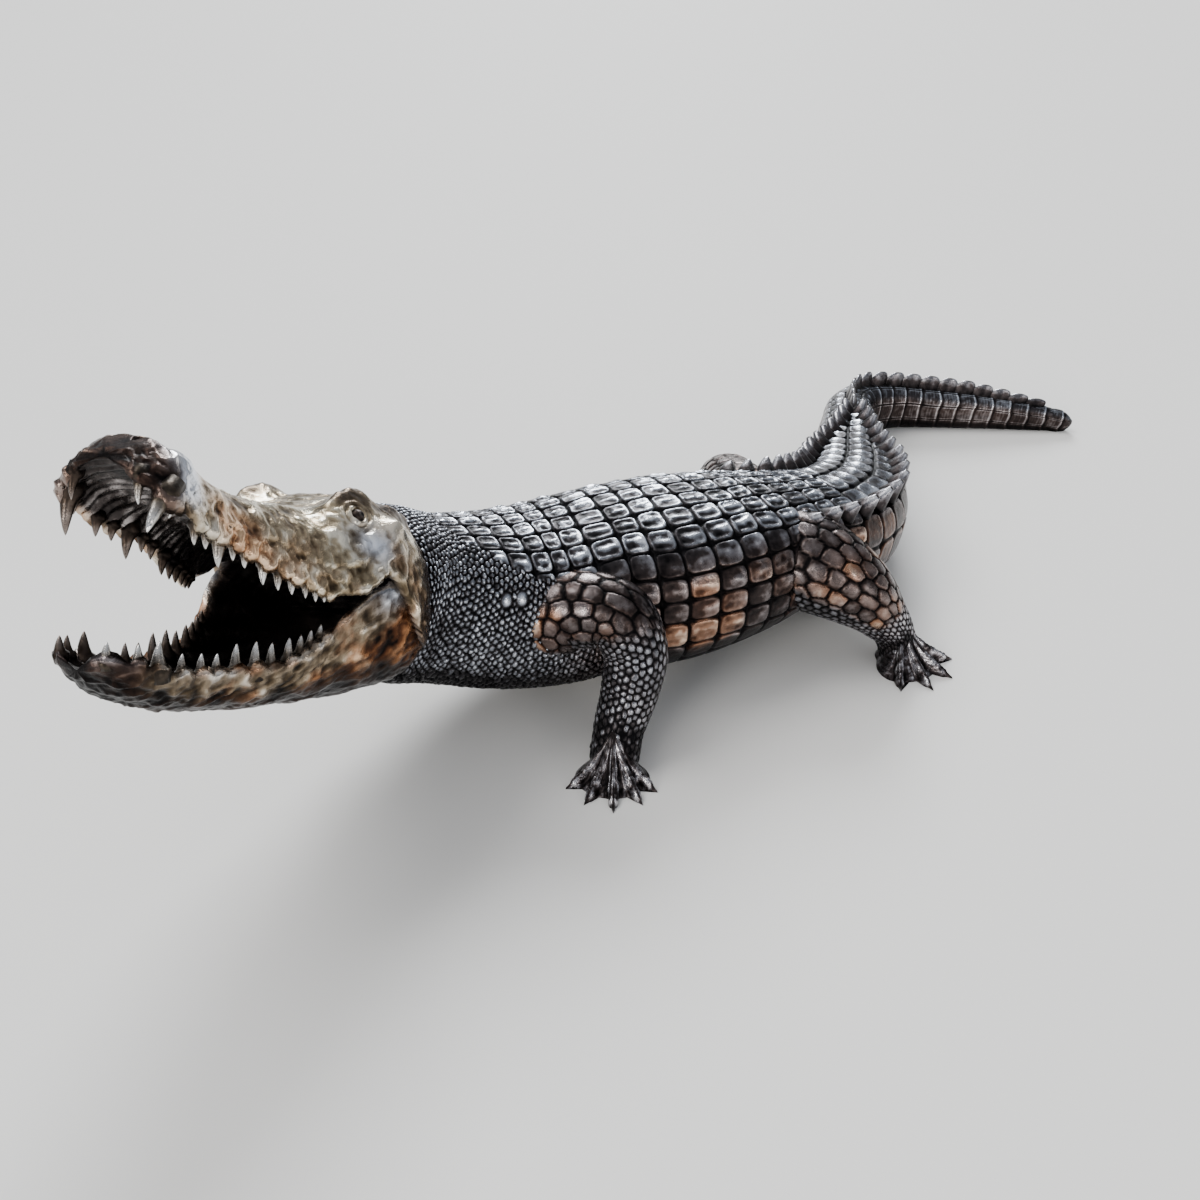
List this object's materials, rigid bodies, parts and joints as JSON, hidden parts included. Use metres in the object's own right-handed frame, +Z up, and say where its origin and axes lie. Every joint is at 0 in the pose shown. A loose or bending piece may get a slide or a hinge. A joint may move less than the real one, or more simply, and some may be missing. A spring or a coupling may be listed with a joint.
{
  "type": "bronze alligator statue",
  "caption": "Life-size cast bronze alligator standing low on four webbed feet, jaws open and raised, head turned aside, plated back and a crested tail curled on the floor.",
  "frame": {"origin": "middle of the bounding box, at floor level", "axes": "+Z up, +X from head to tail along the trunk, +Y towards the animal's right side"},
  "size_m": [3.0727, 1.369, 0.8839],
  "materials": {
    "bronze": "polished dark brown bronze patina, rubbed bright on the raised scales and the head"
  },
  "bodies": {
    "root": {"alligator": "bronze"}
  },
  "joints": []
}
